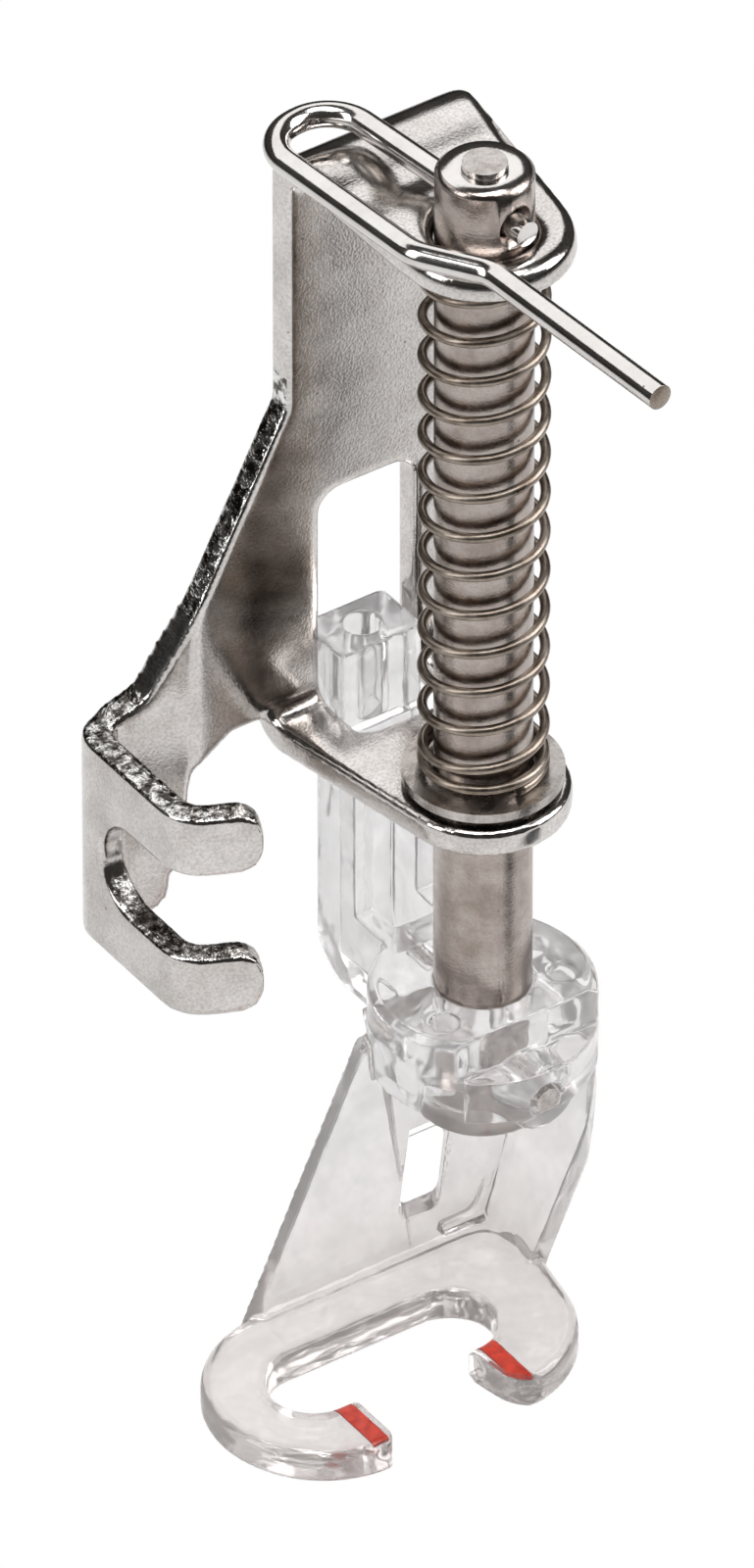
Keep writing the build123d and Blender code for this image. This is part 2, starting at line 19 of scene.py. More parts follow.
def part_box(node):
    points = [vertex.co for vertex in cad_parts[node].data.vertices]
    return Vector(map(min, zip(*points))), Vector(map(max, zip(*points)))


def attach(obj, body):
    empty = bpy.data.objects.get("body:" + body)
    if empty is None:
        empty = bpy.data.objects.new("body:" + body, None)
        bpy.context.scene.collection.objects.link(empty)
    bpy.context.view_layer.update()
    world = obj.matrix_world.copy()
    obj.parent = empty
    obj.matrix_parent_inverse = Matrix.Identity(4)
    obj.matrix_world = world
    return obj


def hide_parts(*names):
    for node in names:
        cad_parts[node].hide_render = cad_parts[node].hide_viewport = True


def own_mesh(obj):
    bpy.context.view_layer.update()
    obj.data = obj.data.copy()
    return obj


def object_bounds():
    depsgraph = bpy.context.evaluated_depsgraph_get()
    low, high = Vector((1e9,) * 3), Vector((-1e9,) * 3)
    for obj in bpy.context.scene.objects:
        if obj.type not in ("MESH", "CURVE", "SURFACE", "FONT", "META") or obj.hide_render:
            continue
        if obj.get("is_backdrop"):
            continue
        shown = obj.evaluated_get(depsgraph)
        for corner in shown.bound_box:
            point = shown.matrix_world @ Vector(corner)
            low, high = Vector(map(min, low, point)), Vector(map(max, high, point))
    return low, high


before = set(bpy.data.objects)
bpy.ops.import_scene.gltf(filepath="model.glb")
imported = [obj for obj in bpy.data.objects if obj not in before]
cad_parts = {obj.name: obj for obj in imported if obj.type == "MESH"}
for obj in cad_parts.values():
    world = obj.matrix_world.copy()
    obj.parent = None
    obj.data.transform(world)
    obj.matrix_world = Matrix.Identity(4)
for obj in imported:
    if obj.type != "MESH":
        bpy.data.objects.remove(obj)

MM = 0.001
HALF_WAY = 0.5  # A smoothing pass moves a vertex half way to the middle of its neighbours.
log = logging.getLogger("presser_foot")

Colour = tuple[float, float, float, float]
Range = tuple[float, float]
Point = tuple[float, float, float]


# Colour and node helpers


def linear(hex_colour: str) -> Colour:
    """Turn an sRGB hex colour into linear values.

    Args:
        hex_colour: Six hex digits, with or without a leading '#'.

    Returns:
        The linear red, green, blue and an alpha of one.
    """
    digits = hex_colour.lstrip("#")
    out = []
    for start in (0, 2, 4):
        value = int(digits[start : start + 2], 16) / 255
        out.append(value / 12.92 if value <= 0.04045 else ((value + 0.055) / 1.055) ** 2.4)
    return out[0], out[1], out[2], 1.0


def grey(value: float) -> Colour:
    """A neutral linear colour with an alpha of one."""
    return value, value, value, 1.0


def per_mm(size_mm: float) -> float:
    """Texture scale, in repeats a metre, for a feature of a given size.

    Args:
        size_mm: Size of one feature in millimetres.

    Returns:
        The scale for a noise or Voronoi node that reads object coordinates in metres.
    """
    return 1.0 / (size_mm * MM)


def add_node(
    tree: bpy.types.NodeTree,
    kind: str,
    settings: dict[str, object] | None = None,
    links: dict[str | int, bpy.types.NodeSocket] | None = None,
    values: dict[str | int, object] | None = None,
) -> bpy.types.Node:
    """Add one shader node with its settings, input values and incoming links.

    Args:
        tree: Node tree that takes the node.
        kind: Node type, such as 'ShaderNodeTexNoise'.
        settings: Node properties to set.
        links: Input name or index to the output socket that feeds it.
        values: Input name or index to a constant.

    Returns:
        The new node.
    """
    node = tree.nodes.new(kind)
    for name, value in (settings or {}).items():
        setattr(node, name, value)
    for key, value in (values or {}).items():
        node.inputs[key].default_value = value
    for key, socket in (links or {}).items():
        tree.links.new(socket, node.inputs[key])
    return node


def set_ramp(node: bpy.types.Node, stops: list[tuple[float, Colour]]) -> None:
    """Give a colour ramp its stops.

    Args:
        node: The colour ramp node.
        stops: Position and colour of each stop, in rising order.
    """
    elements = node.color_ramp.elements
    while len(elements) > 1:
        elements.remove(elements[-1])
    elements[0].position, elements[0].color = stops[0]
    for position, colour in stops[1:]:
        elements.new(position).color = colour


def start_material(name: str) -> tuple[bpy.types.Material, bpy.types.Node, bpy.types.NodeSocket]:
    """Make a material that has only its shader so far.

    Args:
        name: Material name.

    Returns:
        The material, its shader, and the object coordinates that its patterns read.
    """
    material = bpy.data.materials.new(name)
    material.use_nodes = True
    tree = material.node_tree
    where = add_node(tree, "ShaderNodeTexCoord").outputs["Object"]
    return material, tree.nodes["Principled BSDF"], where


# Finishes


class Noise(Enum):
    """Kinds of noise, from smooth to ragged."""

    SMOOTH = {"Detail": 2.0, "Roughness": 0.5}
    SANDY = {"Detail": 3.0, "Roughness": 0.55}
    CLOUDY = {"Detail": 4.0, "Roughness": 0.6}
    PATCHY = {"Detail": 4.0, "Roughness": 0.65}
    RAGGED = {"Detail": 4.0, "Roughness": 0.7}


@dataclass(frozen=True)
class Metal:
    """A plated, ground, turned or drawn metal.

    It gives the eye the metal's mirror, softened by clouds of tone and gloss, a sandy grain,
    hairlines along the way it was worked, and a few small dark pits. On the real pieces the grain,
    the hairlines and the pits are finer than the picture's pixel of 0.05 mm, so they are drawn at
    0.1 mm or more, which is as coarse as they need to be to show.

    Args:
        name: Material name.
        light: Brighter tone, sRGB hex.
        dark: Darker tone of the clouds, sRGB hex.
        roughness: Roughness of the smoothest and of the dullest places.
        cloud_mm: Size of the tone's clouds.
        grain_mm: Size of the surface grain.
        grain_bump: Strength of the grain's bump, 0 to 1.
        hairline_mm: Size of the hairlines' pattern along X, Y and Z; they are thin along the smallest.
        hairline_bump: Strength of the hairlines' bump, 0 to 1.
        speckle: Share of the brightness that the grain's hollows lose.
        cloud_edges: Noise levels where the dark tone ends and the bright tone begins.
        grain_edges: Noise levels of a full hollow and of sound metal.
        gloss_edges: Noise levels of the smoothest and of the dullest places.
        hairline_gloss: Weight of the hairlines beside the clouds in the gloss.
        bump_share: Height of a bump as a share of its pattern's size.
        pit_mm: Distance from one pit to the next.
        pit_radius_mm: Radius of a pit.
        pit_core: Share of the radius over which a pit is fully dark.
        pit_tone: Share of the brightness that is left in a pit.
    """

    name: str
    light: str
    dark: str
    roughness: Range
    cloud_mm: float
    grain_mm: float
    grain_bump: float
    hairline_mm: Point
    hairline_bump: float
    speckle: float = 0.12
    cloud_edges: Range = (0.35, 0.62)
    grain_edges: Range = (0.35, 0.6)
    gloss_edges: Range = (0.5, 1.0)
    hairline_gloss: float = 0.5
    bump_share: float = 0.25
    pit_mm: float = 1.8
    pit_radius_mm: float = 0.1
    pit_core: float = 0.4
    pit_tone: float = 0.3

    def wear(
        self, tree: bpy.types.NodeTree, where: bpy.types.NodeSocket, grain: bpy.types.NodeSocket
    ) -> bpy.types.NodeSocket:
        """Darken the pits and the grain's hollows.

        Args:
            tree: Node tree of the material.
            where: Object coordinates.
            grain: Height of the grain.

        Returns:
            The share of the brightness that is left, one on sound metal.
        """
        pits = add_node(tree, "ShaderNodeTexVoronoi", links={"Vector": where},
                        values={"Scale": per_mm(self.pit_mm)})
        radius = self.pit_radius_mm / self.pit_mm
        sound = add_node(tree, "ShaderNodeMapRange", links={"Value": pits.outputs["Distance"]},
                         values={"From Min": radius * self.pit_core, "From Max": radius,
                                 "To Min": self.pit_tone, "To Max": 1.0})
        sandy = add_node(tree, "ShaderNodeMapRange", links={"Value": grain},
                         values={"From Min": self.grain_edges[0], "From Max": self.grain_edges[1],
                                 "To Min": 1.0 - self.speckle, "To Max": 1.0})
        worn = add_node(tree, "ShaderNodeMath", {"operation": "MULTIPLY"},
                        links={0: sound.outputs["Result"], 1: sandy.outputs["Result"]})
        return worn.outputs["Value"]

    def relief(
        self, tree: bpy.types.NodeTree, grain: bpy.types.NodeSocket, hairlines: bpy.types.NodeSocket
    ) -> bpy.types.NodeSocket:
        """Raise the grain and the hairlines.

        Args:
            tree: Node tree of the material.
            grain: Height of the grain.
            hairlines: Height of the hairlines.

        Returns:
            The bumped normal.
        """
        sand = add_node(tree, "ShaderNodeBump", links={"Height": grain},
                        values={"Strength": self.grain_bump,
                                "Distance": self.grain_mm * MM * self.bump_share})
        lines = add_node(tree, "ShaderNodeBump",
                         links={"Height": hairlines, "Normal": sand.outputs["Normal"]},
                         values={"Strength": self.hairline_bump,
                                 "Distance": min(self.hairline_mm) * MM * self.bump_share})
        return lines.outputs["Normal"]

    def build(self) -> bpy.types.Material:
        """Make the material.

        Returns:
            The new material.
        """
        material, shader, where = start_material(self.name)
        tree = material.node_tree
        shader.inputs["Metallic"].default_value = 1.0
        clouds = add_node(tree, "ShaderNodeTexNoise", links={"Vector": where},
                          values=Noise.CLOUDY.value | {"Scale": per_mm(self.cloud_mm)})
        grain = add_node(tree, "ShaderNodeTexNoise", links={"Vector": where},
                         values=Noise.SANDY.value | {"Scale": per_mm(self.grain_mm)})
        stretch = add_node(tree, "ShaderNodeMapping", links={"Vector": where},
                           values={"Scale": [per_mm(size) for size in self.hairline_mm]})
        hairlines = add_node(tree, "ShaderNodeTexNoise", links={"Vector": stretch.outputs["Vector"]},
                             values=Noise.SMOOTH.value | {"Scale": 1.0})
        tone = add_node(tree, "ShaderNodeValToRGB", links={"Fac": clouds.outputs["Fac"]})
        set_ramp(tone, list(zip(self.cloud_edges, (linear(self.dark), linear(self.light)))))
        pitted = add_node(tree, "ShaderNodeVectorMath", {"operation": "SCALE"},
                          links={0: tone.outputs["Color"],
                                 "Scale": self.wear(tree, where, grain.outputs["Fac"])})
        tree.links.new(pitted.outputs["Vector"], shader.inputs["Base Color"])
        mixed = add_node(tree, "ShaderNodeMath", {"operation": "MULTIPLY_ADD"},
                         links={0: hairlines.outputs["Fac"], 2: clouds.outputs["Fac"]},
                         values={1: self.hairline_gloss})
        rough = add_node(tree, "ShaderNodeMapRange", links={"Value": mixed.outputs["Value"]},
                         values={"From Min": self.gloss_edges[0], "From Max": self.gloss_edges[1],
                                 "To Min": self.roughness[0], "To Max": self.roughness[1]})
        tree.links.new(rough.outputs["Result"], shader.inputs["Roughness"])
        normal = self.relief(tree, grain.outputs["Fac"], hairlines.outputs["Fac"])
        tree.links.new(normal, shader.inputs["Normal"])
        return material


@dataclass(frozen=True)
class ClearPlastic:
    """Clear acrylic, injection moulded.

    It gives the eye a glassy body with wavy flow ripples, faint milky clouds, light scuffs in its
    gloss and two shallow ejector marks, and a little more grey towards the sole. Scuffs are finer
    than the picture's pixel on the real foot, so they are drawn as patches of 0.6 mm.

    Args:
        name: Material name.
        tints: Height in millimetres and colour of the light that passes there, from the sole up.
        clarity: Share of the light that passes straight where the plastic is clearest.
        ior: Refractive index.
        roughness: Surface roughness where it is smooth and where it is scuffed.
        ripple_mm: Size of the flow ripples.
        ripple_bump: Strength of the ripples' bump, 0 to 1.
        ripple_high_mm: Height of the ripples.
        cloud_mm: Size of the milky clouds.
        cloud_edges: Noise levels of a full cloud and of clear plastic.
        veil: Share of the light that a cloud lets through.
        scuff_mm: Size of the scuffed patches.
        scuff_edges: Noise levels of smooth and of scuffed places.
        dent_mm: Centres of the two ejector marks on the hub.
        dent_radius_mm: Radius of a mark.
        dent_flat: Share of the radius that is flat.
        dent_deep_mm: Depth of a mark.
    """

    name: str = "clear_injection_moulded_acrylic"
    tints: tuple[tuple[float, str], ...] = ((-23.0, "#e5e0de"), (-19.5, "#f8f5f4"), (-6.0, "#fefdfd"))
    clarity: float = 0.88
    ior: float = 1.49
    roughness: Range = (0.05, 0.2)
    ripple_mm: float = 3.0
    ripple_bump: float = 0.5
    ripple_high_mm: float = 0.3
    cloud_mm: float = 2.2
    cloud_edges: Range = (0.35, 0.65)
    veil: float = 0.91
    scuff_mm: float = 0.6
    scuff_edges: Range = (0.45, 0.8)
    dent_mm: tuple[Point, ...] = ((7.2, -8.25, -8.1), (14.1, -8.25, -8.1))
    dent_radius_mm: float = 0.8
    dent_flat: float = 0.85
    dent_deep_mm: float = 0.25

    def dents(self, tree: bpy.types.NodeTree, where: bpy.types.NodeSocket) -> bpy.types.NodeSocket:
        """Make a height map with a round dent at each ejector mark.

        Args:
            tree: Node tree of the material.
            where: Object coordinates.

        Returns:
            The height, one outside the dents and zero inside.
        """
        radius = self.dent_radius_mm * MM
        heights = []
        for centre in self.dent_mm:
            away = add_node(tree, "ShaderNodeVectorMath", {"operation": "DISTANCE"}, links={0: where},
                            values={1: [value * MM for value in centre]})
            edge = add_node(tree, "ShaderNodeMapRange", {"interpolation_type": "SMOOTHSTEP"},
                            links={"Value": away.outputs["Value"]},
                            values={"From Min": radius * self.dent_flat, "From Max": radius})
            heights.append(edge.outputs["Result"])
        both = add_node(tree, "ShaderNodeMath", {"operation": "MULTIPLY"},
                        links={0: heights[0], 1: heights[1]})
        return both.outputs["Value"]

    def tint(
        self, tree: bpy.types.NodeTree, where: bpy.types.NodeSocket, veil: bpy.types.NodeSocket
    ) -> bpy.types.NodeSocket:
        """Colour the light by height and dim it in the clouds.

        Args:
            tree: Node tree of the material.
            where: Object coordinates.
            veil: Share of the light that the clouds let through.

        Returns:
            The colour of the light that passes.
        """
        low, high = self.tints[0][0], self.tints[-1][0]
        split = add_node(tree, "ShaderNodeSeparateXYZ", links={"Vector": where})
        rise = add_node(tree, "ShaderNodeMapRange", links={"Value": split.outputs["Z"]},
                        values={"From Min": low * MM, "From Max": high * MM})
        tone = add_node(tree, "ShaderNodeValToRGB", links={"Fac": rise.outputs["Result"]})
        set_ramp(tone, [((height - low) / (high - low), linear(colour)) for height, colour in self.tints])
        shaded = add_node(tree, "ShaderNodeVectorMath", {"operation": "SCALE"},
                          links={0: tone.outputs["Color"], "Scale": veil})
        return shaded.outputs["Vector"]

    def build(self) -> bpy.types.Material:
        """Make the material.

        Returns:
            The new material.
        """
        material, shader, where = start_material(self.name)
        tree = material.node_tree
        shader.inputs["IOR"].default_value = self.ior
        clouds = add_node(tree, "ShaderNodeTexNoise", links={"Vector": where},
                          values=Noise.CLOUDY.value | {"Scale": per_mm(self.cloud_mm)})
        veil = add_node(tree, "ShaderNodeMapRange", links={"Value": clouds.outputs["Fac"]},
                        values={"From Min": self.cloud_edges[0], "From Max": self.cloud_edges[1],
                                "To Min": self.veil, "To Max": 1.0})
        milky = add_node(tree, "ShaderNodeMath", {"operation": "MULTIPLY"},
                         links={0: veil.outputs["Result"]}, values={1: self.clarity})
        tree.links.new(milky.outputs["Value"], shader.inputs["Transmission Weight"])
        tree.links.new(self.tint(tree, where, veil.outputs["Result"]), shader.inputs["Base Color"])
        scuffs = add_node(tree, "ShaderNodeTexNoise", links={"Vector": where},
                          values=Noise.RAGGED.value | {"Scale": per_mm(self.scuff_mm)})
        rough = add_node(tree, "ShaderNodeMapRange", links={"Value": scuffs.outputs["Fac"]},
                         values={"From Min": self.scuff_edges[0], "From Max": self.scuff_edges[1],
                                 "To Min": self.roughness[0], "To Max": self.roughness[1]})
        tree.links.new(rough.outputs["Result"], shader.inputs["Roughness"])
        ripples = add_node(tree, "ShaderNodeTexNoise", links={"Vector": where},
                           values=Noise.SMOOTH.value | {"Scale": per_mm(self.ripple_mm)})
        wave = add_node(tree, "ShaderNodeBump", links={"Height": ripples.outputs["Fac"]},
                        values={"Strength": self.ripple_bump, "Distance": self.ripple_high_mm * MM})
        dent = add_node(tree, "ShaderNodeBump",
                        links={"Height": self.dents(tree, where), "Normal": wave.outputs["Normal"]},
                        values={"Strength": 1.0, "Distance": self.dent_deep_mm * MM})
        tree.links.new(dent.outputs["Normal"], shader.inputs["Normal"])
        return material


@dataclass(frozen=True)
class Enamel:
    """Red enamel, brushed into the toe marks by hand.

    It gives the eye a strong red that is deeper where the paint lies thick, with an uneven gloss
    and a slightly lumpy skin under its thin clear coat.

    Args:
        name: Material name.
        light: Brighter red, sRGB hex.
        dark: Deeper red where the paint is thick, sRGB hex.
        patch_mm: Size of the uneven patches.
        patch_edges: Noise levels where the deeper red ends and the brighter red begins.
        roughness: Roughness of the glossiest and of the dullest places.
        coat: Weight of the clear coat.
        lump_bump: Strength of the skin's bump, 0 to 1.
        lump_high_mm: Height of the skin's lumps.
    """

    name: str = "red_brushed_enamel"
    light: str = "#d03c26"
    dark: str = "#a02010"
    patch_mm: float = 0.5
    patch_edges: Range = (0.35, 0.65)
    roughness: Range = (0.25, 0.5)
    coat: float = 0.3
    lump_bump: float = 0.4
    lump_high_mm: float = 0.04

    def build(self) -> bpy.types.Material:
        """Make the material.

        Returns:
            The new material.
        """
        material, shader, where = start_material(self.name)
        tree = material.node_tree
        shader.inputs["Coat Weight"].default_value = self.coat
        patches = add_node(tree, "ShaderNodeTexNoise", links={"Vector": where},
                           values=Noise.PATCHY.value | {"Scale": per_mm(self.patch_mm)})
        tone = add_node(tree, "ShaderNodeValToRGB", links={"Fac": patches.outputs["Fac"]})
        set_ramp(tone, list(zip(self.patch_edges, (linear(self.dark), linear(self.light)))))
        tree.links.new(tone.outputs["Color"], shader.inputs["Base Color"])
        rough = add_node(tree, "ShaderNodeMapRange", links={"Value": patches.outputs["Fac"]},
                         values={"To Min": self.roughness[0], "To Max": self.roughness[1]})
        tree.links.new(rough.outputs["Result"], shader.inputs["Roughness"])
        bump = add_node(tree, "ShaderNodeBump", links={"Height": patches.outputs["Fac"]},
                        values={"Strength": self.lump_bump, "Distance": self.lump_high_mm * MM})
        tree.links.new(bump.outputs["Normal"], shader.inputs["Normal"])
        return material


class Finish(Enum):
    """Every finish on the object, each with what it is and what it gives the eye."""

    # Cold-rolled sheet steel, nickel plated: a pale, slightly warm mirror that blurs its reflections
    # a little, with fine sand and very faint hairlines from side to side.
    PLATE = Metal(
        name="nickel_plated_sheet_steel", light="#e4e0dd", dark="#cec9c5", roughness=(0.08, 0.19),
        cloud_mm=2.6, grain_mm=0.15, grain_bump=0.18,
        hairline_mm=(6.0, 0.22, 6.0), hairline_bump=0.05, speckle=0.24,
    )
    # The same sheet where the press sheared it before plating: the torn face is drawn as strong bumps and
    # streaks across the edge, and its colour carries painted glints and painted dark reflection in hard-edged
    # patches.
    SHEARED = Metal(
        name="nickel_plated_sheared_edge_painted_glints", light="#f4f2f0", dark="#5a5551", roughness=(0.06, 0.20),
        cloud_mm=0.6, grain_mm=0.50, grain_bump=1.0,
        hairline_mm=(0.30, 1.6, 1.2), hairline_bump=1.0, speckle=0.2, cloud_edges=(0.44, 0.58),
    )
    # Drawn wire, polished and nickel plated: the cleanest mirror of the object, with long unbroken
    # highlights along the arm.
    WIRE = Metal(
        name="polished_nickel_plated_wire", light="#e2dfdc", dark="#d6d2cf", roughness=(0.09, 0.17),
        cloud_mm=1.8, grain_mm=0.35, grain_bump=0.05,
        hairline_mm=(0.3, 6.0, 0.3), hairline_bump=0.02, speckle=0.03,
    )
    # Ground steel rod: a greyer satin whose fine rings round the rod draw the highlight out.
    SHAFT = Metal(
        name="ground_steel_shaft", light="#bcb2ac", dark="#9d918a", roughness=(0.16, 0.30),
        cloud_mm=1.5, grain_mm=0.16, grain_bump=0.25,
        hairline_mm=(2.5, 2.5, 0.10), hairline_bump=0.18,
    )
    # Turned steel pins: a small bright satin face with an even grain in every direction.
    PIN = Metal(
        name="turned_steel_pin", light="#dcd7d4", dark="#b0a8a3", roughness=(0.16, 0.34),
        cloud_mm=0.6, grain_mm=0.14, grain_bump=0.4,
        hairline_mm=(0.3, 0.3, 0.3), hairline_bump=0.25,
    )
    # Drawn spring steel, not plated: a dull brownish grey with broad soft highlights on each turn.
    SPRING = Metal(
        name="drawn_spring_steel_wire", light="#aea398", dark="#85786c", roughness=(0.26, 0.40),
        cloud_mm=1.1, grain_mm=0.18, grain_bump=0.20,
        hairline_mm=(1.5, 1.5, 0.12), hairline_bump=0.10,
    )
    # Punched washer and ring, zinc plated: a flat pale grey, duller than the nickel.
    WASHER = Metal(
        name="zinc_plated_washer", light="#cdc8c4", dark="#a09994", roughness=(0.18, 0.36),
        cloud_mm=1.2, grain_mm=0.20, grain_bump=0.30,
        hairline_mm=(1.0, 1.0, 0.1), hairline_bump=0.2,
    )
    CLEAR = ClearPlastic()
    RED = Enamel()

    @property
    def material(self) -> bpy.types.Material:
        """The finish's material, made on first use."""
        found = bpy.data.materials.get(self.value.name)
        return found if found else self.value.build()


# Pieces of the object


def add_object(name: str, data: bpy.types.ID) -> bpy.types.Object:
    """Put a new object into the scene.

    Args:
        name: Object name.
        data: Its mesh, light or camera.

    Returns:
        The new object.
    """
    obj = bpy.data.objects.new(name, data)
    bpy.context.scene.collection.objects.link(obj)
    return obj


def apply_modifiers(obj: bpy.types.Object) -> None:
    """Turn an object's modifiers into its mesh.

    Args:
        obj: The object.
    """
    graph = bpy.context.evaluated_depsgraph_get()
    mesh = bpy.data.meshes.new_from_object(obj.evaluated_get(graph))
    obj.modifiers.clear()
    obj.data = mesh


def smooth_shading(mesh: bpy.types.Mesh) -> None:
    """Shade all faces of a mesh smoothly."""
    mesh.polygons.foreach_set("use_smooth", [True] * len(mesh.polygons))


def paint(node: str, finish: Finish) -> None:
    """Give a CAD node its finish.

    Args:
        node: Node name.
        finish: The finish to put on it.
    """
    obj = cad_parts[node]
    if not obj.material_slots:
        obj.data.materials.append(finish.material)
    for material_slot in obj.material_slots:
        material_slot.material = finish.material
    log.info("painted %s with %s", node, finish.value.name)


@dataclass
class Piece(ABC):
    """A detailed mesh that stands for one CAD node.

    Args:
        node: CAD node that it replaces.
        body: Body that it rides on.
        slot: Material slot of the record; not used.
        finishes: Finish of its surface, and then that of its cut faces where they have another.
    """

    node: str
    body: str
    slot: str
    finishes: tuple[Finish, ...]

    def copy(self) -> bpy.types.Object:
        """Copy the CAD node's mesh into an object of its own.

        Returns:
            The new object, at the node's place.
        """
        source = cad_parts[self.node]
        obj = add_object(f"{self.node}_skin", source.data.copy())
        obj.matrix_world = source.matrix_world.copy()
        return obj

    @abstractmethod
    def mesh(self) -> bpy.types.Object:
        """Build the piece's mesh in an object of its own."""

    def finish_numbers(self, mesh: bpy.types.Mesh) -> list[int]:
        """Which of the finishes each face has: the first one everywhere."""
        return [0] * len(mesh.polygons)

    def dress(self, obj: bpy.types.Object) -> None:
        """Put on the finishes, tie the piece to its body and hide its CAD node.

        Args:
            obj: The piece's object.
        """
        obj.data.materials.clear()
        for finish in self.finishes:
            obj.data.materials.append(finish.material)
        obj.data.polygons.foreach_set("material_index", self.finish_numbers(obj.data))
        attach(obj, self.body)
        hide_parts(self.node)
        log.info("%s: %d faces on body %s", obj.name, len(obj.data.polygons), self.body)


@dataclass
class Refined(Piece):
    """A piece whose edges are softened all over.

    Args:
        voxel_mm: Grid size of the rebuilt mesh.
        rounds: Smoothing passes, which set how soft the edges get.
        kept: Share of the faces that is kept at the end, fewest on flat places.
    """

    voxel_mm: float
    rounds: int
    kept: float = 1.0

    def mesh(self) -> bpy.types.Object:
        """Rebuild the node's mesh on an even grid and relax its edges.

        Returns:
            The new object.
        """
        obj = self.copy()
        remesh = obj.modifiers.new("even_grid", "REMESH")
        remesh.mode = "VOXEL"
        remesh.voxel_size = self.voxel_mm * MM
        remesh.use_smooth_shade = True
        relax = obj.modifiers.new("soft_edges", "SMOOTH")
        relax.iterations = self.rounds
        relax.factor = HALF_WAY
        if self.kept < 1:
            thin = obj.modifiers.new("fewer_faces", "DECIMATE")
            thin.ratio = self.kept
            even = obj.modifiers.new("flat_stays_flat", "WEIGHTED_NORMAL")
            even.mode = "FACE_AREA"
        apply_modifiers(obj)
        smooth_shading(obj.data)
        return obj


@dataclass
class Bracket(Refined):
    """The stamped bracket, whose sheared edges have a finish of their own, with painted glints and painted
    dark reflection.

    Args:
        roll_mm: Depth of the zone below the upper lug's top whose rim the press rolled over.
        roll_rounds: Smoothing passes that roll the rim.
        dip_mm: Depth of the dip that the press left in the upper lug, in front of the bend.
        dip_y_mm: Where the middle of the dip lies, along Y.
        dip_wide_mm: Half width of the dip.
        dip_zone_mm: Depth below the upper lug's top that sinks with the dip.
        plate_x_mm: Part of the back plate that holds its slanted edge, along X.
        plate_y_mm: Where the back plate lies, along Y.
        slant_z_mm: Lower and upper end of the slanted edge.
        slant_turn: How far a face of the slanted edge may turn towards Y at most, as part of its normal.
        slant_left: How far it faces left at least.
        wall_x_mm: The clamp wall and the fingers lie to the left of this.
        wall_level: How far a cut face of the fingers or the wall faces up or down at least.
        fork_z_mm: Half height of the room between the fingers, with their inner edges.
        wall_z_mm: Height, above and below the clamp screw, from which the wall's own edges begin.
    """

    node: str = "bracket"
    body: str = "bracket"
    slot: str = "plated_bracket"
    finishes: tuple[Finish, ...] = (Finish.PLATE, Finish.SHEARED)
    voxel_mm: float = 0.16
    rounds: int = 20
    roll_mm: float = 1.0
    roll_rounds: int = 45
    dip_mm: float = 0.32
    dip_y_mm: float = -0.9
    dip_wide_mm: float = 1.7
    dip_zone_mm: float = 0.4
    plate_x_mm: Range = (0.6, 9.0)
    plate_y_mm: Range = (3.2, 5.0)
    slant_z_mm: Range = (4.5, 24.0)
    slant_turn: float = 0.35
    slant_left: float = 0.2
    wall_x_mm: float = 0.7
    wall_level: float = 0.6
    fork_z_mm: float = 2.7
    wall_z_mm: float = 5.0

    def mesh(self) -> bpy.types.Object:
        """Rebuild the bracket's mesh, roll the upper lug's rim and press the dip into its top.

        Returns:
            The new object.
        """
        obj = super().mesh()
        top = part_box(self.node)[1].z
        rolled = bmesh.new()
        rolled.from_mesh(obj.data)
        rim = [vertex for vertex in rolled.verts if vertex.co.z > top - self.roll_mm * MM]
        for _ in range(self.roll_rounds):
            bmesh.ops.smooth_vert(rolled, verts=rim, factor=HALF_WAY, use_axis_x=True, use_axis_y=True,
                                  use_axis_z=True)
        rolled.to_mesh(obj.data)
        rolled.free()
        for vertex in obj.data.vertices:
            if vertex.co.z > top - self.dip_zone_mm * MM:
                across = (vertex.co.y / MM - self.dip_y_mm) / self.dip_wide_mm
                vertex.co.z -= self.dip_mm * MM * math.exp(-across * across)
        return obj

    def sheared(self, centre: Vector, normal: Vector) -> bool:
        """Tell whether a face lies on a cut edge of the sheet.

        Args:
            centre: The face's centre in metres.
            normal: The face's normal.

        Returns:
            True on the back plate's slanted edge, the ends of the clamp wall and the fingers' inner edges.
        """
        x, y, z = (value / MM for value in centre)
        in_plate = self.plate_y_mm[0] < y < self.plate_y_mm[1] and self.plate_x_mm[0] < x < self.plate_x_mm[1]
        if in_plate and self.slant_z_mm[0] < z < self.slant_z_mm[1]:
            return abs(normal.y) < self.slant_turn and normal.x < -self.slant_left
        on_edge = abs(z) < self.fork_z_mm or abs(z) > self.wall_z_mm
        return x < self.wall_x_mm and abs(normal.z) > self.wall_level and on_edge

    def finish_numbers(self, mesh: bpy.types.Mesh) -> list[int]:
        """Which finish each face has: the second one on the sheet's cut edges."""
        return [int(self.sheared(face.center, face.normal)) for face in mesh.polygons]


@dataclass
class ClearFoot(Refined):
    """The clear moulding: toe ring, leaning wall, hub and guide arm in one."""

    node: str = "clear_foot"
    body: str = "plunger"
    slot: str = "clear_plastic"
    finishes: tuple[Finish, ...] = (Finish.CLEAR,)
    voxel_mm: float = 0.11
    rounds: int = 7
    kept: float = 0.56


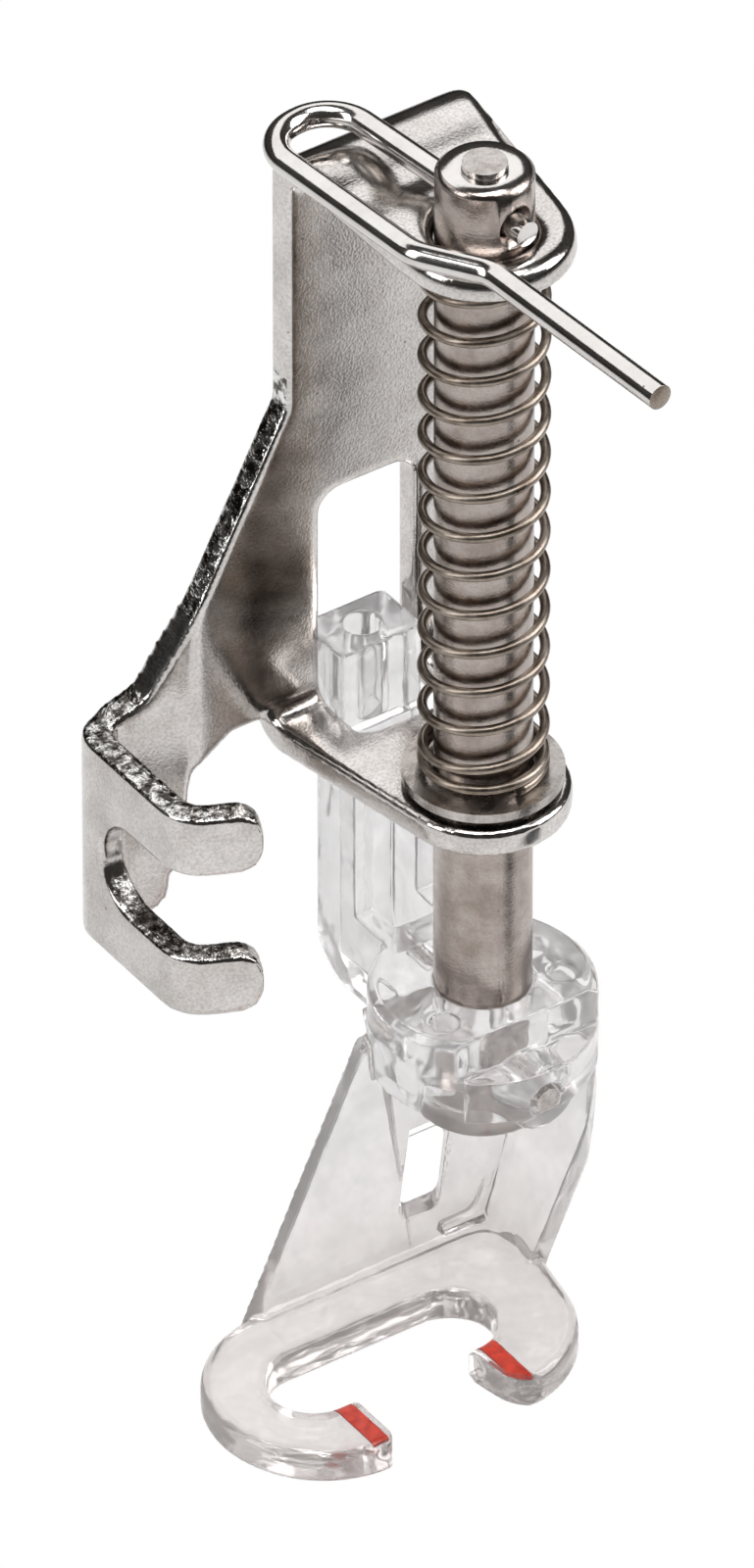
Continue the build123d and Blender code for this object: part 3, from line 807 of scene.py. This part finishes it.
@dataclass
class Eased(Piece):
    """A turned or drawn piece whose sharp rims are broken by a small bevel.

    Args:
        end_axis: Direction in which the piece's cut end faces.
        bevel_mm: Width of the bevel.
        bevel_steps: Faces across the bevel.
        sharp_degrees: Edges that turn more than this get the bevel.
        weld_mm: Vertices closer than this are joined first.
        end_deep_mm: How far from the piece's limit a face still belongs to the end.
        end_facing: How squarely a face of the end looks along the axis at least, where one is square.
    """

    end_axis: Point
    bevel_mm: float = 0.12
    bevel_steps: int = 3
    sharp_degrees: float = 50.0
    weld_mm: float = 0.001
    end_deep_mm: float = 0.3
    end_facing: float = 0.9

    def mesh(self) -> bpy.types.Object:
        """Copy the node's mesh, join its faces and break its rims.

        Returns:
            The new object.
        """
        obj = self.copy()
        joined = bmesh.new()
        joined.from_mesh(obj.data)
        bmesh.ops.remove_doubles(joined, verts=joined.verts, dist=self.weld_mm * MM)
        joined.to_mesh(obj.data)
        joined.free()
        rim = obj.modifiers.new("broken_rims", "BEVEL")
        rim.width = self.bevel_mm * MM
        rim.segments = self.bevel_steps
        rim.limit_method = "ANGLE"
        rim.angle_limit = math.radians(self.sharp_degrees)
        even = obj.modifiers.new("flat_stays_flat", "WEIGHTED_NORMAL")
        even.mode = "FACE_AREA"
        smooth_shading(obj.data)
        apply_modifiers(obj)
        return obj

    def finish_numbers(self, mesh: bpy.types.Mesh) -> list[int]:
        """Find the faces of the cut end.

        Args:
            mesh: The eased mesh.

        Returns:
            One for each face of the cut end, and zero for each other face.
        """
        axis = Vector(self.end_axis)
        limit = max(vertex.co.dot(axis) for vertex in mesh.vertices) - self.end_deep_mm * MM
        return [
            int(face.normal.dot(axis) > self.end_facing and face.center.dot(axis) > limit)
            for face in mesh.polygons
        ]


@dataclass
class LiftingArm(Eased):
    """The bent wire arm; its cut end at the front is bare steel."""

    node: str = "lifting_arm"
    body: str = "plunger"
    slot: str = "plated_wire"
    finishes: tuple[Finish, ...] = (Finish.WIRE, Finish.SPRING)
    end_axis: Point = (0.0, -1.0, 0.0)


@dataclass
class PlungerShaft(Eased):
    """The sliding shaft; its upper end is faced and brighter than its side."""

    node: str = "plunger_shaft"
    body: str = "plunger"
    slot: str = "steel_shaft"
    finishes: tuple[Finish, ...] = (Finish.SHAFT, Finish.WIRE)
    end_axis: Point = (0.0, 0.0, 1.0)


@dataclass
class CoilSpring(Piece):
    """The compression spring, with closed turns at both ends.

    Args:
        wire_mm: Wire diameter.
        turns: Open turns.
        closed: Closed turns at the lower end.
        closed_top: Closed turns at the upper end.
        closed_pitch: Rise of a closed turn, in wire diameters.
        inset: Distance from the wire's centre to the CAD coil's outside, in wire radii.
        start_degrees: Where the lower end of the wire lies, from X.
        steps: Rings of the mesh in each turn.
        sides: Sides of the wire's section.
    """

    node: str = "spring"
    body: str = "bracket"
    slot: str = "spring_steel"
    finishes: tuple[Finish, ...] = (Finish.SPRING,)
    wire_mm: float = 0.5
    turns: float = 12.5
    closed: float = 1.5
    closed_top: float = 0.8
    closed_pitch: float = 1.03
    inset: float = 1.02
    start_degrees: float = -90.0
    steps: int = 64
    sides: int = 14

    @property
    def total(self) -> float:
        """All turns of the wire."""
        return self.closed + self.turns + self.closed_top

    def height(self, turn: float, low: float, high: float) -> float:
        """Height of the wire's centre after a number of turns.

        Args:
            turn: Turns from the lower end.
            low: Height of the lower end.
            high: Height of the upper end.

        Returns:
            The height in metres.
        """
        pitch = self.wire_mm * MM * self.closed_pitch
        rise = high - low - pitch * (self.closed + self.closed_top)
        middle = min(max((turn - self.closed) / self.turns, 0.0), 1.0)
        ends = min(turn, self.closed) + max(0.0, turn - (self.total - self.closed_top))
        return low + pitch * ends + rise * middle

    def mesh(self) -> bpy.types.Object:
        """Sweep the wire's section along the coil.

        Returns:
            The spring's object.
        """
        low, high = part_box(self.node)
        centre = (Vector(low) + Vector(high)) / 2
        wire = self.wire_mm * MM / 2
        radius = (high[0] - low[0]) / 2 - wire * self.inset
        count = int(self.total * self.steps)
        rings = []
        coil = bmesh.new()
        for step in range(count + 1):
            turn = self.total * step / count
            angle = 2 * math.pi * turn + math.radians(self.start_degrees)
            out = Vector((math.cos(angle), math.sin(angle), 0))
            level = self.height(turn, low[2] + wire, high[2] - wire)
            point = Vector((centre.x, centre.y, level)) + out * radius
            ring = []
            for side in range(self.sides):
                around = 2 * math.pi * side / self.sides
                offset = out * (wire * math.cos(around)) + Vector((0, 0, wire * math.sin(around)))
                ring.append(coil.verts.new(point + offset))
            rings.append(ring)
        for first, second in zip(rings, rings[1:]):
            for side in range(self.sides):
                after = (side + 1) % self.sides
                coil.faces.new((first[side], first[after], second[after], second[side]))
        coil.faces.new(rings[0])
        coil.faces.new(list(reversed(rings[-1])))
        bmesh.ops.recalc_face_normals(coil, faces=coil.faces)
        data = bpy.data.meshes.new("spring_coil")
        coil.to_mesh(data)
        coil.free()
        # The four-sided faces of the wire's skin are shaded smoothly, and its two cut ends stay flat.
        data.polygons.foreach_set("use_smooth", [len(face.vertices) == 4 for face in data.polygons])
        return add_object("spring_coil", data)

    def dress(self, obj: bpy.types.Object) -> None:
        """Put on the finish and give the coil a mesh of its own.

        Args:
            obj: The spring's object.
        """
        super().dress(obj)
        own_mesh(obj)


# Small pieces whose CAD mesh needs nothing but a finish.
SMALL_PIECES = {
    "locking_pin": Finish.PIN,
    "cross_pin": Finish.PIN,
    "retaining_ring": Finish.WASHER,
    "spring_washer": Finish.WASHER,
    "mark_left": Finish.RED,
    "mark_right": Finish.RED,
}


# Studio


def direction(azimuth: float, elevation: float) -> Vector:
    """Direction from the object to a place round it.

    Args:
        azimuth: Turn from the front in degrees, positive to the right.
        elevation: Angle above the floor in degrees.

    Returns:
        The unit vector.
    """
    turn, lift = math.radians(azimuth), math.radians(elevation)
    return Vector((math.sin(turn) * math.cos(lift), -math.cos(turn) * math.cos(lift), math.sin(lift)))


def seen(tree: bpy.types.NodeTree) -> bpy.types.NodeSocket:
    """Tell what the camera sees straight or through the clear plastic.

    Args:
        tree: Node tree of the world or of a material.

    Returns:
        One for such a ray and zero for any other.
    """
    path = add_node(tree, "ShaderNodeLightPath")
    either = add_node(tree, "ShaderNodeMath", {"operation": "MAXIMUM"},
                      links={0: path.outputs["Is Camera Ray"], 1: path.outputs["Is Transmission Ray"]})
    return either.outputs["Value"]


@dataclass(frozen=True)
class Panel:
    """A soft lamp panel that faces the object.

    Args:
        name: Lamp's name.
        azimuth: Turn round the object from the front in degrees, positive to the right.
        elevation: Angle above the floor in degrees.
        size_mm: Panel's width and height.
        brightness: How bright the panel looks, where one is paper white.
    """

    name: str
    azimuth: float
    elevation: float
    size_mm: Range
    brightness: float

    def build(self, middle_mm: Point, distance_mm: float) -> None:
        """Add the lamp.

        Args:
            middle_mm: Point that the panel faces.
            distance_mm: Distance from that point to the panel.
        """
        data = bpy.data.lights.new(self.name, "AREA")
        data.shape = "RECTANGLE"
        data.size, data.size_y = self.size_mm[0] * MM, self.size_mm[1] * MM
        data.energy = self.brightness * math.pi * data.size * data.size_y
        away = direction(self.azimuth, self.elevation)
        obj = add_object(self.name, data)
        obj.location = (Vector(middle_mm) + away * distance_mm) * MM
        obj.rotation_euler = away.to_track_quat("Z", "Y").to_euler()


@dataclass
class Studio:
    """Camera, lights, floor and surroundings.

    Args:
        azimuth: Camera's turn round the object in degrees, negative to the left.
        elevation: Camera's angle above the floor in degrees.
        scale: Pixels of the photograph in a millimetre.
        picture: Photograph's size in pixels.
        aim_pixel: Pixel where the aim point lies.
        aim_mm: The aim point, on the plunger's axis.
        distance_mm: Camera's distance.
        sensor_mm: Height of the camera's sensor.
        sight_m: Nearest and farthest distance that the camera draws, in metres.
        middle_mm: Middle of the object, which the lamps face.
        lamp_distance_mm: Distance of the lamps from the middle.
        panels: The lamps.
        room: Colour of the room in the object's reflections, sRGB hex.
        floor_half_m: Half the floor's side, in metres.
        floor_gap_mm: Gap between sole and floor, so that the two faces don't lie in one plane.
        shade_mm: Middle of the long painted shade in the paper's colour, in front of the object.
        shade_turn: Direction of the shade's long axis, in degrees from X.
        shade_half_mm: Half length and half width of the shade.
        shade_edges: Where the shade begins to lighten and where it ends, as shares of its half size.
        shade_tones: Tone of the paper in the painted shade and outside it.
        paper_mm: Distances from the middle where the paper's colour begins to darken into painted shade and
            where it is dark.
        fade: Share of the tone that is left where the paper is dark.
    """

    azimuth: float = -34.5
    elevation: float = 38.0
    scale: float = 21.3
    picture: tuple[int, int] = (769, 1600)
    aim_pixel: Range = (493.0, 736.5)
    aim_mm: Point = (10.65, -6.45, 7.6)
    distance_mm: float = 1500.0
    sensor_mm: float = 24.0
    sight_m: Range = (0.01, 10.0)
    middle_mm: Point = (4.0, -8.0, 8.0)
    lamp_distance_mm: float = 420.0
    panels: tuple[Panel, ...] = (
        Panel("key_panel", 60.0, 35.0, (240.0, 340.0), 4.4),
        Panel("left_panel", -95.0, 30.0, (140.0, 420.0), 3.6),
        Panel("back_panel", 180.0, 48.0, (756.0, 200.0), 1.2),
        Panel("top_panel", 0.0, 84.0, (320.0, 200.0), 5.5),
    )
    room: str = "#3c3a38"
    floor_half_m: float = 2.0
    floor_gap_mm: float = 0.03
    shade_mm: Range = (37.6, -55.5)
    shade_turn: float = -57.0
    shade_half_mm: Range = (36.0, 13.0)
    shade_edges: Range = (0.6, 1.0)
    shade_tones: Range = (0.07, 0.80)
    paper_mm: Range = (130.0, 240.0)
    fade: float = 0.08

    def camera(self) -> None:
        """Place a long lens at the photograph's angle."""
        turn = math.radians(self.azimuth)
        back = direction(self.azimuth, self.elevation)
        right = Vector((math.cos(turn), math.sin(turn), 0))
        up = back.cross(right)
        across = (self.aim_pixel[0] - self.picture[0] / 2) / self.scale
        above = (self.picture[1] / 2 - self.aim_pixel[1]) / self.scale
        target = Vector(self.aim_mm) - right * across - up * above
        data = bpy.data.cameras.new("camera")
        data.sensor_fit = "VERTICAL"
        data.sensor_height = self.sensor_mm
        data.lens = self.sensor_mm * self.distance_mm / (self.picture[1] / self.scale)
        data.clip_start, data.clip_end = self.sight_m
        obj = add_object("camera", data)
        turned = Matrix((right, up, back)).transposed().to_4x4()
        turned.translation = (target + back * self.distance_mm) * MM
        obj.matrix_world = turned
        bpy.context.scene.camera = obj

    def surroundings(self) -> None:
        """White behind the object, and a dim grey room in its reflections."""
        world = bpy.data.worlds.new("room")
        world.use_nodes = True
        bpy.context.scene.world = world
        tree = world.node_tree
        tree.nodes.clear()
        room = add_node(tree, "ShaderNodeBackground", values={"Color": linear(self.room), "Strength": 1.0})
        white = add_node(tree, "ShaderNodeBackground", values={"Color": grey(1.0), "Strength": 1.0})
        mix = add_node(tree, "ShaderNodeMixShader",
                       links={0: seen(tree), 1: room.outputs["Background"],
                              2: white.outputs["Background"]})
        add_node(tree, "ShaderNodeOutputWorld", links={"Surface": mix.outputs["Shader"]})

    def paper_tone_with_painted_shade(self, tree: bpy.types.NodeTree, level: float) -> bpy.types.NodeSocket:
        """Tone of the paper as the object's reflections show it.

        A painted shade, a long dark patch in the paper's colour in front of the object, gives the plated
        faces their dark gradient, and the paper's colour darkens towards its far edge, a painted shade for
        the unlit studio beyond.

        Args:
            tree: Node tree of the paper.
            level: Height of the floor in metres.

        Returns:
            The tone, where one is white.
        """
        where = add_node(tree, "ShaderNodeTexCoord").outputs["Object"]
        # Painted shade: a long dark patch in the paper's colour in front of the object.
        local = add_node(tree, "ShaderNodeMapping", {"vector_type": "TEXTURE"}, links={"Vector": where},
                         values={"Location": (self.shade_mm[0] * MM, self.shade_mm[1] * MM, level),
                                 "Rotation": (0.0, 0.0, math.radians(self.shade_turn)),
                                 "Scale": (self.shade_half_mm[0] * MM, self.shade_half_mm[1] * MM, 1.0)})
        away = add_node(tree, "ShaderNodeVectorMath", {"operation": "LENGTH"},
                        links={0: local.outputs["Vector"]})
        shade = add_node(tree, "ShaderNodeMapRange", {"interpolation_type": "SMOOTHSTEP"},
                         links={"Value": away.outputs["Value"]},
                         values={"From Min": self.shade_edges[0], "From Max": self.shade_edges[1],
                                 "To Min": self.shade_tones[0], "To Max": self.shade_tones[1]})
        # Painted shade: the paper's colour darkens far from the object, standing for the unlit studio beyond.
        out = add_node(tree, "ShaderNodeVectorMath", {"operation": "DISTANCE"}, links={0: where},
                       values={1: (self.middle_mm[0] * MM, self.middle_mm[1] * MM, level)})
        fade = add_node(tree, "ShaderNodeMapRange", {"interpolation_type": "SMOOTHSTEP"},
                        links={"Value": out.outputs["Value"]},
                        values={"From Min": self.paper_mm[0] * MM, "From Max": self.paper_mm[1] * MM,
                                "To Min": 1.0, "To Max": self.fade})
        tone = add_node(tree, "ShaderNodeMath", {"operation": "MULTIPLY"},
                        links={0: shade.outputs["Result"], 1: fade.outputs["Result"]})
        return tone.outputs["Value"]

    def floor(self) -> None:
        """Lay the paper floor under the sole, plain white where the camera sees it."""
        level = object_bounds()[0][2] - self.floor_gap_mm * MM
        half = self.floor_half_m
        corners = [(-half, -half, level), (half, -half, level), (half, half, level), (-half, half, level)]
        mesh = bpy.data.meshes.new("floor")
        mesh.from_pydata(corners, [], [(0, 1, 2, 3)])
        obj = add_object("floor", mesh)
        # Matt white paper: to the camera a flat white ground without any texture. In the object's
        # reflections its colour carries the painted shade.
        material = bpy.data.materials.new("white_paper_floor")
        material.use_nodes = True
        tree = material.node_tree
        tree.nodes.clear()
        paper = add_node(tree, "ShaderNodeBsdfDiffuse", links={"Color": self.paper_tone_with_painted_shade(tree, level)})
        white = add_node(tree, "ShaderNodeEmission", values={"Color": grey(1.0), "Strength": 1.0})
        mix = add_node(tree, "ShaderNodeMixShader",
                       links={0: seen(tree), 1: paper.outputs["BSDF"], 2: white.outputs["Emission"]})
        add_node(tree, "ShaderNodeOutputMaterial", links={"Surface": mix.outputs["Shader"]})
        mesh.materials.append(material)
        obj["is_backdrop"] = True

    def build(self) -> None:
        """Set up the whole studio."""
        bpy.context.scene.view_settings.view_transform = "Standard"
        self.surroundings()
        self.floor()
        for panel in self.panels:
            panel.build(self.middle_mm, self.lamp_distance_mm)
        self.camera()
        log.info("studio ready with %d panels", len(self.panels))


def main() -> None:
    """Dress the whole part and set up the studio."""
    logging.basicConfig(level=logging.INFO, format="%(name)s: %(message)s")
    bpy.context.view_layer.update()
    for node, finish in SMALL_PIECES.items():
        paint(node, finish)
    for piece in (Bracket(), ClearFoot(), LiftingArm(), PlungerShaft(), CoilSpring()):
        piece.dress(piece.mesh())
    Studio().build()


if __name__ == "__main__":
    main()
